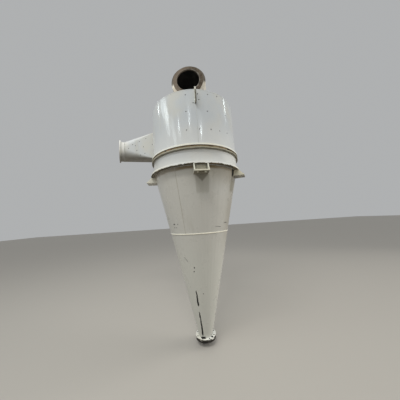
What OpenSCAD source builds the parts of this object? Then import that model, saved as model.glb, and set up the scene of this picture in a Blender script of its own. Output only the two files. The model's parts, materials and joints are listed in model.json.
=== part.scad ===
// Cyclone separator: a round barrel with a tangential inlet, a long cone with
// a flanged dust outlet, and an elbow on the roof for the cleaned air.
// Millimetres, +Z up. The origin is on the underside of the front support foot.

/* [Barrel] */
// Outside diameter of the barrel and of the band below it
barrel_d = 1220; // [1100:10:1500]
// Height of the barrel wall from its flange to the roof
barrel_h = 690; // [620:10:900]
// Wall thickness of the barrel, the band and the cone
wall_t = 8; // [5:1:12]
// Thickness of the roof plate
roof_t = 12; // [8:1:20]

/* [Barrel joint] */
// How far the bolted rings stand out from the barrel wall
joint_out = 25; // [22:1:60]
// Thickness of the ring welded under the barrel
barrel_flange_t = 20; // [12:1:30]
// Thickness of the packing between the two rings
gasket_t = 24; // [6:1:30]
// How far the packing stays back from the rim of the rings
gasket_back = 9; // [2:1:14]
// Thickness of the ring welded on the band
band_flange_t = 18; // [12:1:30]
// Height of the band between its ring and the support ring
band_h = 158; // [100:2:300]

/* [Support ring and feet] */
// Thickness of the support ring
support_ring_t = 28; // [16:1:40]
// How far the support ring stands out from the barrel wall
support_ring_out = 36; // [30:1:70]
// Turn of the front foot from straight ahead, in degrees
foot_turn = 5.9; // [-15:0.1:15]
// How far the right foot stands short of a quarter turn from the front foot, in degrees
right_foot_short = 25.9; // [0:0.1:40]
// How far the foot plates reach out from the barrel wall
foot_out = 102; // [90:1:160]
// Width of a foot plate
foot_w = 174; // [150:2:240]
// Thickness of a foot plate
foot_t = 16; // [10:1:25]
// Depth of the right, back and left feet from the support ring to their undersides
foot_drop = 78; // [60:1:140]
// Depth of the front foot from the support ring to its underside
front_foot_drop = 106; // [60:1:140]
// Thickness of the two side gussets of a foot
gusset_t = 12; // [8:1:16]
// Diameter of the two bolt holes in each foot
foot_hole_d = 22; // [14:1:26]
// Distance between the two bolt holes of a foot
foot_hole_pitch = 90; // [70:2:96]

/* [Cone] */
// Height of the cone from the dust flange to the top of the support ring
cone_h = 2196; // [1700:4:2600]
// Outside diameter of the cone at the dust flange
tip_d = 188; // [170:2:200]
// Height of the seam between the two courses of the cone
seam_h = 1362; // [900:2:1500]
// Outside diameter of the cone at that seam
seam_d = 812; // [760:2:860]
// Height of the raised ring over the seam
seam_ring_h = 18; // [8:1:40]
// How far the raised ring stands out from the cone
seam_ring_out = 5; // [2:1:10]

/* [Dust outlet] */
// Outside diameter of the dust flange
dust_flange_d = 272; // [264:2:320]
// Thickness of the dust flange
dust_flange_t = 16; // [10:1:24]
// Thickness of the loose counter flange below it
counter_flange_t = 24; // [10:1:30]
// Number of bolt holes in the dust flange
dust_holes = 8; // [4:1:12]
// Diameter of the bolt holes in the dust flange
dust_hole_d = 18; // [10:1:20]
// Bolt circle of the dust flange
dust_pcd = 234; // [228:1:240]

/* [Outlet elbow] */
// Outside diameter of the outlet pipe, the elbow and the vortex finder
outlet_d = 500; // [480:2:510]
// Wall thickness of the outlet pipe, the elbow and the vortex finder
outlet_wall = 10; // [5:1:14]
// Turn of the elbow's mouth from straight ahead, in degrees
outlet_turn = -5; // [-60:1:60]
// Length of the straight pipe between the roof and the elbow
outlet_rise = 158; // [100:2:400]
// Bend radius of the elbow, at the middle of the pipe
elbow_r = 260; // [258:2:600]
// Length of the collar that narrows the elbow to its mouth
mouth_l = 22; // [16:1:80]
// How much smaller than the elbow the collar's radius is at its end
mouth_narrowing = 33; // [10:1:36]
// Thickness of the bare ring on the end of the collar
mouth_ring_t = 14; // [8:1:24]
// Clear diameter of the mouth
mouth_d = 324; // [240:2:360]
// Depth of the vortex finder below the roof plate
finder_h = 480; // [200:10:560]

/* [Inlet] */
// Turn of the inlet from straight to the left towards the front, in degrees
inlet_turn = 22.5; // [0:0.5:30]
// Outside width of the inlet duct
inlet_w = 200; // [160:5:240]
// Outside height of the inlet duct
inlet_h = 442; // [360:2:500]
// Wall thickness of the inlet
inlet_wall = 6; // [3:1:8]
// How far the outer wall of the duct lies inside the barrel's tangent
inlet_set_in = 5; // [4:1:60]
// Distance of the duct's top below the roof plate
inlet_drop = 83; // [20:1:120]
// Distance of the duct's outer end from the middle of the barrel
duct_reach = 558; // [540:2:800]
// Length of the piece that leads from the rectangle to the round
transition_l = 433; // [300:1:700]
// How far the round collar's middle lies below the duct's
collar_drop = 124; // [0:2:160]
// Outside diameter of the round collar
collar_d = 304; // [280:2:312]
// Length of the round collar
collar_l = 54; // [40:1:200]
// Outside diameter of the inlet flange
inlet_flange_d = 346; // [340:2:400]
// Thickness of the inlet flange
inlet_flange_t = 18; // [8:1:30]
// Number of bolt holes in the inlet flange
inlet_holes = 12; // [8:1:16]
// Diameter of the bolt holes in the inlet flange
inlet_hole_d = 9; // [6:0.5:11]

/* [Lifting lugs] */
// Turn of the front lug from straight ahead, in degrees
lug_turn = 4.8; // [-15:0.1:15]
// Turn from the front lug to the right lug, in degrees
right_lug_from_front = 110; // [80:1:130]
// Turn between the root of the inlet and the left lug behind it, in degrees
left_lug_behind_inlet = 6; // [4:1:20]
// Width of a lug from the barrel outwards
lug_w = 60; // [50:1:90]
// Thickness of a lug
lug_t = 16; // [12:1:25]
// Height of a lug
lug_h = 190; // [140:5:240]
// How far the top of a lug lies below the top of the roof plate
lug_drop = 0; // [0:1:60]
// Diameter of the shackle hole in a lug
lug_hole_d = 30; // [18:1:34]

/* [Hidden] */
$fn = 96;
eps = 1;
big = 4 * barrel_d;

barrel_r = barrel_d / 2;
shell_in_r = barrel_r - wall_t;
joint_r = barrel_r + joint_out;
cone_top_r = shell_in_r;
tip_r = tip_d / 2;
seam_r = seam_d / 2;

// Heights above the top face of the dust flange
support_ring_z = cone_h - support_ring_t;
band_z = cone_h;
band_flange_z = band_z + band_h;
gasket_z = band_flange_z + band_flange_t;
barrel_flange_z = gasket_z + gasket_t;
barrel_z = barrel_flange_z + barrel_flange_t;
roof_z = barrel_z + barrel_h;

foot_reach = barrel_r + foot_out;
gusset_top_reach = barrel_r + support_ring_out;
gusset_end_gap = 12;

outlet_r = outlet_d / 2;
outlet_in_r = outlet_r - outlet_wall;
elbow_z = roof_z + roof_t + outlet_rise;
neck_r = outlet_r - mouth_narrowing;

inlet_back_y = barrel_r - inlet_set_in;
inlet_y = inlet_back_y - inlet_w / 2;
inlet_top_z = roof_z - inlet_drop;
inlet_z = inlet_top_z - inlet_h / 2;
collar_r = collar_d / 2;
collar_x = duct_reach + transition_l;
inlet_flange_x = collar_x + collar_l;
inlet_pcd = (collar_d + inlet_flange_d) / 2 + 2;
left_lug_turn = inlet_turn - 180 - left_lug_behind_inlet;

paint = "gainsboro";
shade_paint = "silver";
bare_steel = "dimgray";
rusty_steel = "saddlebrown";

// Outside radius of the cone at a height above the dust flange
function cone_r(z) = z < seam_h
    ? tip_r + (seam_r - tip_r) * z / seam_h
    : seam_r + (cone_top_r - seam_r) * (z - seam_h) / (cone_h - seam_h);

// Height of the underside of a foot, the front one being side zero
function foot_z(side) = support_ring_z - (side == 0 ? front_foot_drop : foot_drop);

// Distance of a foot's bolt holes from the vessel's axis
function foot_hole_r(side) = (cone_r(foot_z(side)) + foot_reach) / 2 + 12;

// Puts what is drawn round the vessel's axis, with the dust flange's top face
// at height zero, into the part's own frame
module in_place() {
    translate([-sin(foot_turn) * foot_hole_r(0), cos(foot_turn) * foot_hole_r(0), -foot_z(0)])
        children();
}

// Turns what points straight to the left along the inlet's direction
module to_inlet() {
    in_place()
        rotate([0, 0, inlet_turn])
            children();
}

module round_ring(outer_r, inner_r, z, h) {
    translate([0, 0, z])
        difference() {
            cylinder(r = outer_r, h = h);
            translate([0, 0, -eps])
                cylinder(r = inner_r, h = h + 2 * eps);
        }
}

// A course of the cone between two heights, as a revolved wall
module cone_course(z0, z1) {
    rotate_extrude()
        polygon([[cone_r(z0) - wall_t, z0], [cone_r(z0), z0], [cone_r(z1), z1], [cone_r(z1) - wall_t, z1]]);
}

// The solid cone inside its outer surface, to cut what is welded to it
module cone_body() {
    rotate_extrude()
        polygon([[0, 0], [tip_r, 0], [seam_r, seam_h], [cone_top_r, cone_h], [0, cone_h]]);
}

module bolt_holes(count, pcd, d, z, h) {
    for (i = [0 : count - 1])
        rotate([0, 0, (i + 0.5) * 360 / count])
            translate([pcd / 2, 0, z - eps])
                cylinder(d = d, h = h + 2 * eps, $fn = 32);
}

module barrel_shell() {
    color(paint) to_inlet()
        difference() {
            round_ring(barrel_r, shell_in_r, barrel_z, barrel_h);
            translate([-big, inlet_y - inlet_w / 2 + inlet_wall, inlet_z - inlet_h / 2 + inlet_wall])
                cube([big, inlet_w - 2 * inlet_wall, inlet_h - 2 * inlet_wall]);
        }
}

module roof_plate() {
    color(paint) in_place()
        round_ring(barrel_r, outlet_in_r, roof_z, roof_t);
}

module vortex_finder() {
    color(shade_paint) in_place()
        round_ring(outlet_r, outlet_in_r, roof_z - finder_h, finder_h);
}

module barrel_flange() {
    color(paint) in_place()
        round_ring(joint_r, shell_in_r, barrel_flange_z, barrel_flange_t);
}

module joint_packing() {
    color(rusty_steel) in_place()
        round_ring(joint_r - gasket_back, shell_in_r, gasket_z, gasket_t);
}

module band_flange() {
    color(shade_paint) in_place()
        round_ring(joint_r, shell_in_r, band_flange_z, band_flange_t);
}

module band_shell() {
    color(paint) in_place()
        round_ring(barrel_r, shell_in_r, band_z, band_h);
}

module support_ring() {
    color(paint) in_place()
        rotate_extrude()
            polygon([[cone_r(support_ring_z), support_ring_z], [gusset_top_reach, support_ring_z],
                     [gusset_top_reach, cone_h], [cone_top_r, cone_h]]);
}

module cone_upper() {
    color(shade_paint) in_place()
        cone_course(seam_h, cone_h);
}

module cone_seam_ring() {
    z0 = seam_h - seam_ring_h / 2;
    z1 = seam_h + seam_ring_h / 2;
    chamfer = seam_ring_h / 4;
    color(paint) in_place()
        rotate_extrude()
            polygon([[cone_r(z0), z0], [cone_r(z0 + chamfer) + seam_ring_out, z0 + chamfer],
                     [cone_r(z1 - chamfer) + seam_ring_out, z1 - chamfer], [cone_r(z1), z1], [seam_r, seam_h]]);
}

module cone_lower() {
    color(shade_paint) in_place()
        cone_course(0, seam_h);
}

module dust_flange() {
    color(paint) in_place()
        difference() {
            round_ring(dust_flange_d / 2, tip_r - wall_t, -dust_flange_t, dust_flange_t);
            bolt_holes(dust_holes, dust_pcd, dust_hole_d, -dust_flange_t, dust_flange_t);
        }
}

module counter_flange() {
    z = -dust_flange_t - counter_flange_t;
    color(bare_steel) in_place()
        difference() {
            round_ring(dust_flange_d / 2 - 2, tip_r - wall_t, z, counter_flange_t);
            bolt_holes(dust_holes, dust_pcd, dust_hole_d, z, counter_flange_t);
        }
}

// Turns what faces straight ahead towards the elbow's mouth
module to_mouth() {
    in_place()
        rotate([0, 0, outlet_turn])
            children();
}

module outlet_pipe() {
    color(paint) in_place()
        round_ring(outlet_r, outlet_in_r, roof_z + roof_t, outlet_rise);
}

module outlet_elbow() {
    color(paint) to_mouth()
        translate([0, -elbow_r, elbow_z])
            rotate([90, 0, 90])
                rotate_extrude(angle = 90, $fn = 64)
                    translate([elbow_r, 0])
                        difference() {
                            circle(r = outlet_r, $fn = 64);
                            circle(r = outlet_in_r, $fn = 64);
                        }
}

// Moves what is drawn along +Z from the bend's end outwards along the mouth's axis
module at_mouth(start) {
    to_mouth()
        translate([0, -elbow_r - start, elbow_z + elbow_r])
            rotate([90, 0, 0])
                children();
}

module outlet_mouth() {
    color(paint) at_mouth(0)
        rotate_extrude()
            polygon([[neck_r - outlet_wall, 0], [outlet_r, 0], [neck_r, mouth_l], [neck_r - outlet_wall, mouth_l]]);
}

module mouth_ring() {
    color(bare_steel) at_mouth(mouth_l)
        round_ring(neck_r, mouth_d / 2, 0, mouth_ring_t);
}

// Moves what is drawn along +Z outwards along the inlet, from a distance from
// the middle of the barrel, and down by a drop
module along_inlet(x, drop) {
    to_inlet()
        translate([-x, inlet_y, inlet_z - drop])
            rotate([0, -90, 0])
                children();
}

module inlet_duct() {
    color(paint) to_inlet()
        difference() {
            translate([-duct_reach, inlet_y - inlet_w / 2, inlet_z - inlet_h / 2])
                cube([duct_reach, inlet_w, inlet_h]);
            translate([-duct_reach - eps, inlet_y - inlet_w / 2 + inlet_wall, inlet_z - inlet_h / 2 + inlet_wall])
                cube([duct_reach + 2 * eps, inlet_w - 2 * inlet_wall, inlet_h - 2 * inlet_wall]);
            translate([0, 0, inlet_z - inlet_h])
                cylinder(r = barrel_r, h = 2 * inlet_h, $fn = 256);
        }
}

// The skin that leads from the duct's rectangle to the collar's circle, less an
// amount all round
module transition_body(less, over) {
    slice = 0.01;
    hull() {
        translate([-inlet_h / 2 + less, -inlet_w / 2 + less, -over])
            cube([inlet_h - 2 * less, inlet_w - 2 * less, slice]);
        translate([-collar_drop, 0, transition_l - slice + over])
            cylinder(r = collar_r - less, h = slice, $fn = 48);
    }
}

module inlet_transition() {
    color(paint) along_inlet(duct_reach, 0)
        difference() {
            transition_body(0, 0);
            transition_body(inlet_wall, 0.02);
        }
}

module inlet_collar() {
    color(paint) along_inlet(collar_x, collar_drop)
        round_ring(collar_r, collar_r - inlet_wall, 0, collar_l);
}

module inlet_flange() {
    color(paint) along_inlet(inlet_flange_x, collar_drop)
        difference() {
            round_ring(inlet_flange_d / 2, collar_r - inlet_wall, 0, inlet_flange_t);
            bolt_holes(inlet_holes, inlet_pcd, inlet_hole_d, 0, inlet_flange_t);
        }
}

// Turns what is drawn straight ahead round to one of the four feet
module at_foot(side) {
    in_place()
        rotate([0, 0, foot_turn + side * 90 - (side == 1 ? right_foot_short : 0)])
            children();
}

module foot_plate(side) {
    color(paint) at_foot(side)
        difference() {
            translate([-foot_w / 2, -foot_reach, foot_z(side)])
                cube([foot_w, foot_reach, foot_t]);
            cone_body();
            for (x = [-1, 1])
                translate([x * foot_hole_pitch / 2, -foot_hole_r(side), foot_z(side) - eps])
                    cylinder(d = foot_hole_d, h = foot_t + 2 * eps, $fn = 32);
        }
}

// Side gussets, with an outer edge that slopes down to the end of the foot
module gussets(side) {
    plate_top = foot_z(side) + foot_t;
    color(paint) at_foot(side)
        difference() {
            for (x = [-foot_w / 2, foot_w / 2 - gusset_t])
                translate([x, 0, 0])
                    rotate([90, 0, 90])
                        linear_extrude(gusset_t)
                            polygon([[0, plate_top], [-foot_reach + gusset_end_gap, plate_top],
                                     [-gusset_top_reach, support_ring_z], [0, support_ring_z]]);
            cone_body();
        }
}

// A lug seen from the side: a plate with a round top and the shackle's hole
module lug(turn) {
    top_r = lug_w / 2;
    hole_z = roof_z + roof_t - lug_drop - top_r;
    color(paint) in_place()
        rotate([0, 0, turn])
            difference() {
                translate([-lug_t / 2, 0, 0])
                    rotate([90, 0, 90])
                        linear_extrude(lug_t)
                            union() {
                                translate([-barrel_r - lug_w, hole_z + top_r - lug_h])
                                    square([lug_w + wall_t, lug_h - top_r]);
                                translate([-barrel_r - top_r, hole_z])
                                    circle(r = top_r);
                                translate([-barrel_r - top_r, hole_z])
                                    square([top_r + wall_t, top_r]);
                            }
                translate([0, 0, roof_z - barrel_h])
                    cylinder(r = barrel_r, h = 2 * barrel_h);
                translate([-lug_t, -barrel_r - top_r, hole_z])
                    rotate([0, 90, 0])
                        cylinder(d = lug_hole_d, h = 2 * lug_t, $fn = 32);
            }
}

barrel_shell();
roof_plate();
vortex_finder();
barrel_flange();
joint_packing();
band_flange();
band_shell();
support_ring();
cone_upper();
cone_seam_ring();
cone_lower();
dust_flange();
counter_flange();
outlet_pipe();
outlet_elbow();
outlet_mouth();
mouth_ring();
inlet_duct();
inlet_transition();
inlet_collar();
inlet_flange();
foot_plate(0);  // front_foot_plate
foot_plate(1);  // right_foot_plate
foot_plate(2);  // back_foot_plate
foot_plate(3);  // left_foot_plate
gussets(0);  // front_foot_gussets
gussets(1);  // right_foot_gussets
gussets(2);  // back_foot_gussets
gussets(3);  // left_foot_gussets
lug(lug_turn);  // front_lug
lug(lug_turn + right_lug_from_front);  // right_lug
lug(left_lug_turn);  // left_lug
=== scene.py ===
# %% [markdown]
# # A cyclone separator
# The real object is a steel vessel that spins dust out of air. Air enters the
# barrel through the tangential inlet, the dust slides down the long cone, and
# the clean air leaves through the elbow on the roof. Its large shapes come
# ready from the CAD model. This lesson gives them their paint, and adds what a
# welder and years of use left on them: beads, plug welds, rust and dirt.
# The first cell loads the CAD model as a fixed frame.

# %% Load the frame
import json
import math
import bmesh
import bpy
from mathutils import Matrix, Vector, noise
from mathutils.bvhtree import BVHTree


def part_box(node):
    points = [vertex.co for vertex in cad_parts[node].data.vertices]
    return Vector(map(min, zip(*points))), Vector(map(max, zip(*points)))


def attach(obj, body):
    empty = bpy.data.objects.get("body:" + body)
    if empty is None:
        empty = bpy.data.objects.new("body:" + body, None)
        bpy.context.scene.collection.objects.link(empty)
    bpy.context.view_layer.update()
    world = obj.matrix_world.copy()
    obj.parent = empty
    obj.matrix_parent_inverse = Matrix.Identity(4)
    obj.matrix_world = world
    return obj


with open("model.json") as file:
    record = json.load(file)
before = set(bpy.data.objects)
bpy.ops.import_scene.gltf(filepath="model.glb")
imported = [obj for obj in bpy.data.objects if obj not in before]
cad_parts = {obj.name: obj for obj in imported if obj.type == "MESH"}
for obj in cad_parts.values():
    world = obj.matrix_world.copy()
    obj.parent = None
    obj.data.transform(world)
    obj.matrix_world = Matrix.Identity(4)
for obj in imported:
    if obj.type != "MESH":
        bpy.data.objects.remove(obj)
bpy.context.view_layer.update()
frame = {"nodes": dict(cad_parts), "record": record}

# %% [markdown]
# ## Where things are
# The CAD nodes' boxes and the record's mounts say where the steel is, so a
# piece sits on it, whatever its size. The vessel is round about one upright
# axis, and most places on it are told by a turn about this axis, with zero
# straight ahead and the right-hand side at plus 90 degrees, and by a height.

# %% Sizes from the CAD boxes
def middle_of(node):
    low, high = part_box(node)
    return (low + high) / 2


def radius_of(node):
    low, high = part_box(node)
    return (high.x - low.x) / 2


def bottom_of(node):
    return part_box(node)[0].z


def top_of(node):
    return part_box(node)[1].z


MM = 0.001
AXIS = Vector((middle_of("roof_plate").x, middle_of("roof_plate").y, 0))
BARREL_R = radius_of("roof_plate")
LEDGE_R = radius_of("support_ring")
LEDGE_UNDER = bottom_of("support_ring")
PIPE_R = radius_of("outlet_pipe")
TIP_Z = top_of("dust_flange")
SEAM_Z = top_of("cone_lower")
SEAM_R = radius_of("cone_lower")
CONE_TOP_Z = top_of("cone_upper")
CONE_TOP_R = radius_of("cone_upper")
corners = [vert.co - AXIS for vert in frame["nodes"]["cone_lower"].data.vertices]
TIP_R = max(corner.to_2d().length for corner in corners if corner.z < TIP_Z + MM)
print("barrel radius", round(BARREL_R, 3), "cone height", round(CONE_TOP_Z - TIP_Z, 3))


def cone_radius(z):
    """Outside radius of the cone at a height."""
    if z < SEAM_Z:
        return TIP_R + (SEAM_R - TIP_R) * (z - TIP_Z) / (SEAM_Z - TIP_Z)
    return SEAM_R + (CONE_TOP_R - SEAM_R) * (z - SEAM_Z) / (CONE_TOP_Z - SEAM_Z)


def around(turn, radius, z):
    """A point at a turn in degrees, a radius and a height."""
    a = math.radians(turn)
    return AXIS + Vector((radius * math.sin(a), -radius * math.cos(a), z))


def outward(place):
    """The level direction from the vessel's axis to a place."""
    return (place - AXIS).to_2d().to_3d().normalized()


def spread(node, direction):
    """How far a node reaches along a direction, from the vessel's axis: least and most."""
    places = [(vert.co - AXIS).dot(direction) for vert in frame["nodes"][node].data.vertices]
    return min(places), max(places)


mounts = {mount["name"]: mount for mount in frame["record"]["mounts"]}


def mount_place(name):
    return Vector(mounts[name]["pos_m"]), Vector(mounts[name]["axis"]).normalized()


def turn_of(place):
    """The turn of a point, in degrees."""
    return math.degrees(math.atan2(place.x - AXIS.x, AXIS.y - place.y))


def mount_turn(name):
    return turn_of(mount_place(name)[0])


# %% [markdown]
# ## The camera
# The photograph was taken with a very wide lens from eye height, looking a
# little upwards and held a little out of level. Three angles, a distance and a
# height, fitted to the vessel's round edges, give the same view here.

# %% Camera
YAW, PITCH, ROLL = 0.0156, 0.12, 0.0652
CAMERA_AWAY = 2.45
CAMERA_HEIGHT = 1.5286
FOCAL_IN_PIXELS, FRAME_PIXELS = 165.3219, 400
MIDDLE_X, MIDDLE_Y = 199.907, 200
SENSOR_MM = 36

look = Vector((math.sin(YAW) * math.cos(PITCH), math.cos(YAW) * math.cos(PITCH), math.sin(PITCH)))
level_right = Vector((math.cos(YAW), -math.sin(YAW), 0))
level_down = look.cross(level_right)
right = level_right * math.cos(ROLL) + level_down * math.sin(ROLL)
down = look.cross(right)
eye = AXIS + Vector((0, -CAMERA_AWAY, TIP_Z + CAMERA_HEIGHT))

camera_data = bpy.data.cameras.new("camera")
camera_data.sensor_width = SENSOR_MM
camera_data.lens = FOCAL_IN_PIXELS / FRAME_PIXELS * SENSOR_MM
camera = bpy.data.objects.new("camera", camera_data)
bpy.context.scene.collection.objects.link(camera)
camera.matrix_world = Matrix.Translation(eye) @ Matrix((right, -down, -look)).transposed().to_4x4()
bpy.context.scene.camera = camera
print("camera at", [round(v, 3) for v in eye], "lens", round(camera_data.lens, 2))


def sight(px, py):
    """The direction from the camera through a place in the picture."""
    aside, below = px - MIDDLE_X, py - MIDDLE_Y
    return (look + right * aside / FOCAL_IN_PIXELS + down * below / FOCAL_IN_PIXELS).normalized()


# %% [markdown]
# ## Floor
# A plain pale floor lies just under the vessel's lowest ring. It is one flat
# grid, so wide that its edge can't be seen. Its warm tone is the same all over,
# so it goes straight onto the shader's sockets.

# %% Floor
FLOOR_GAP = 0.065
FLOOR_REACH = 40


def plain_floor(z):
    mesh = bpy.data.meshes.new("floor")
    bm = bmesh.new()
    bmesh.ops.create_grid(bm, x_segments=1, y_segments=1, size=FLOOR_REACH)
    bmesh.ops.translate(bm, vec=(0, 0, z), verts=bm.verts)
    bm.to_mesh(mesh)
    bm.free()
    floor = bpy.data.objects.new("floor", mesh)
    bpy.context.scene.collection.objects.link(floor)
    material = bpy.data.materials.new("pale_floor")
    material.use_nodes = True
    shader = material.node_tree.nodes["Principled BSDF"]
    shader.inputs["Base Color"].default_value = (0.53, 0.50, 0.45, 1)
    shader.inputs["Roughness"].default_value = 0.7
    mesh.materials.append(material)
    print("floor at", round(z, 3))


plain_floor(bottom_of("counter_flange") - FLOOR_GAP)

# %% [markdown]
# ## Surround and soft lamps
# The light is a soft studio: an even pale surround, and three soft lamps above
# and on both sides. They are kept out of reflections, because a glossy barrel
# would show them as bright squares. The lamp on the right stands far off, and
# its narrowed spread keeps a bright pool off the floor.

# %% Surround and soft lamps
WHOLE_SPREAD, NARROW_SPREAD = math.radians(180), math.radians(80)
world = bpy.data.worlds.new("studio")
bpy.context.scene.world = world
world.use_nodes = True
background = world.node_tree.nodes["Background"]
background.inputs["Color"].default_value = (0.93, 0.95, 0.96, 1)
background.inputs["Strength"].default_value = 0.46
bpy.context.scene.view_settings.view_transform = "Standard"


def lamp(name, place, target, width, height, watts, tint=(0.88, 0.99, 1)):
    """A rectangular lamp at a place, turned towards a target."""
    data = bpy.data.lights.new(name, "AREA")
    data.shape = "RECTANGLE"
    data.size, data.size_y = width, height
    data.energy = watts
    data.color = tint
    light = bpy.data.objects.new(name, data)
    light.rotation_euler = (Vector(target) - Vector(place)).to_track_quat("-Z", "Y").to_euler()
    light.location = place
    bpy.context.scene.collection.objects.link(light)
    print(name, [round(v, 2) for v in light.location], round(watts, 1), "W")
    return light


for *facts, light_spread in [
    ("soft_top", (-1.6, -3.2, 5.0), (0, 0.6, 0), 4.0, 0.7, 175, (1, 0.985, 0.96), WHOLE_SPREAD),
    ("soft_left", (-3.6, -1.2, 2.2), (-0.9, 0.5, 1.05), 1.2, 1.2, 12, (1, 1, 1), WHOLE_SPREAD),
    ("soft_right", (9.5, 1.4, 2.2), (0, 0.6, 0.2), 7, 6, 125, (1, 0.975, 0.93), NARROW_SPREAD),
]:
    light = lamp(*facts)
    light.visible_glossy = False
    light.data.spread = light_spread

# %% [markdown]
# ### Lamps for the streaks
# The strip lights of a workshop show in the round barrel as thin streaks. They
# aren't painted on, because then they would stay put from every other side.
# Each is a lamp, and its place is found backwards: the line of sight to the
# streak is mirrored in the barrel's wall, and the lamp stands on the mirrored
# line. The wide leaning ones are ellipses, for the soft glow beside a streak.

# %% Streak lamps
def on_barrel(px, py):
    """Where the line of sight through a place in the picture meets the barrel."""
    ray = sight(px, py)
    flat = Vector((ray.x, ray.y))
    start = Vector((eye.x - AXIS.x, eye.y - AXIS.y))
    a, b, c = flat.dot(flat), 2 * start.dot(flat), start.dot(start) - BARREL_R**2
    return eye + ray * (-b - math.sqrt(b * b - 4 * a * c)) / (2 * a)


def streak_lamp(name, px, py, wide, tall, radiance, lean=0.0, away=7.0):
    """A lamp whose mirror image on the barrel falls at a place in the picture. Its
    width and height are told as angles in degrees seen from the barrel."""
    hit = on_barrel(px, py)
    ray = (hit - eye).normalized()
    normal = outward(hit)
    mirrored = ray - 2 * ray.dot(normal) * normal
    width, height = (2 * away * math.tan(math.radians(v / 2)) for v in (wide, tall))
    light = lamp(name, hit + mirrored * away, hit, width, height, radiance * math.pi * width * height)
    if lean:
        light.data.shape = "ELLIPSE"
        turned = light.rotation_euler.to_matrix() @ Matrix.Rotation(math.radians(lean), 3, "Z")
        light.rotation_euler = turned.to_euler()
    return light


for name, px, py, wide, tall, radiance, lean in [
    ("strip_left", 158.4, 109.0, 1.8, 3.0, 20, 0),
    ("strip_middle", 189.2, 118.0, 1.9, 4.4, 24, 0),
    ("strip_low", 178.9, 127.5, 1.9, 3.8, 26, 0),
    ("strip_lowest", 201.2, 130.5, 2.1, 4.0, 26, 0),
    ("strip_right", 224.2, 106.0, 7.0, 1.4, 11, -42),
    ("strip_right_tail", 224.9, 118.0, 6.0, 1.4, 3, -42),
    ("wide_left", 164.3, 109.5, 25, 8, 2.4, -12),
    ("wide_left_tail", 166.8, 119.0, 18, 7, 2.8, -38),
    ("faint_band", 173.5, 132.0, 15, 6, 2.0, -42),
]:
    streak_lamp(name, px, py, wide, tall, radiance, lean)

# %% [markdown]
# ## Finishes
# Sprayed paint isn't one flat colour. It has soft broad differences in tone, a
# fine orange-peel skin that shows only in the gloss, dust that settles in
# streaks, and dirt where faces look down. Each finish here is a small tree of
# noise textures on Object coordinates, so it keeps its scale in metres. A few
# helpers keep the trees short: each adds one node and gives its output.

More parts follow.
